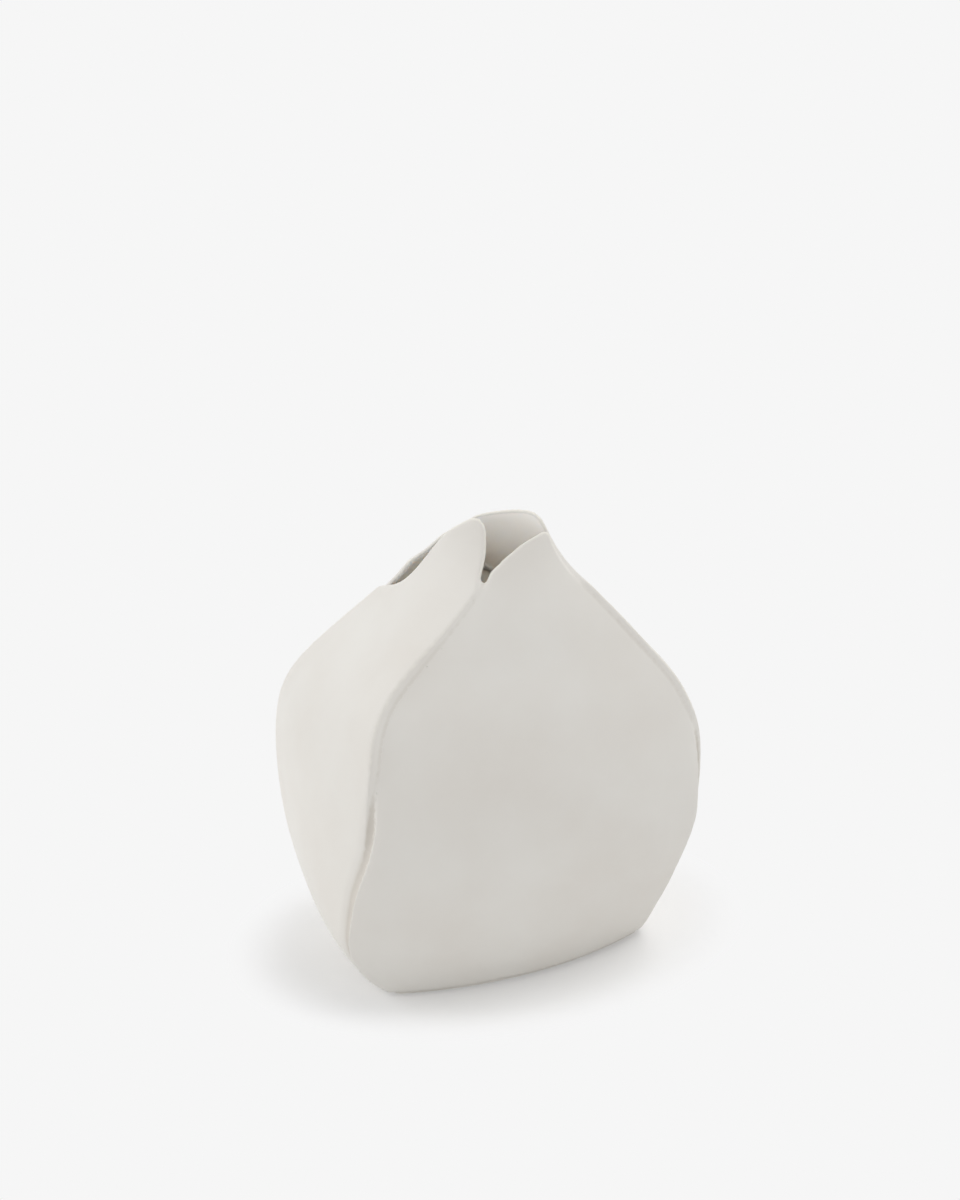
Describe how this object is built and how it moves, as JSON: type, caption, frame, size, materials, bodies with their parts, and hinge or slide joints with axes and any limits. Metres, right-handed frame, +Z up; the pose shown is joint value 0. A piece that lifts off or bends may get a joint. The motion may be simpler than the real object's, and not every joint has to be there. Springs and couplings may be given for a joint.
{
  "type": "pillow vase",
  "caption": "Hand-built porcelain pillow vase of curved slabs joined at raised seams, with free petal-shaped lips round a small mouth.",
  "frame": {"origin": "on the table under the middle of the vase's bounding box", "axes": "+X along the wide front and back slabs, to the right as seen from the front slab; +Y from the front slab to the back slab; +Z up"},
  "size_m": [0.1726, 0.1326, 0.2005],
  "materials": {
    "porcelain": "matte"
  },
  "bodies": {
    "root": {"front_slab": "porcelain", "right_slab": "porcelain", "back_slab": "porcelain", "left_slab": "porcelain", "base_slab": "porcelain", "front_left_coil": "porcelain", "front_right_coil": "porcelain", "back_right_coil": "porcelain", "back_left_coil": "porcelain", "base_coil": "porcelain"}
  },
  "joints": []
}
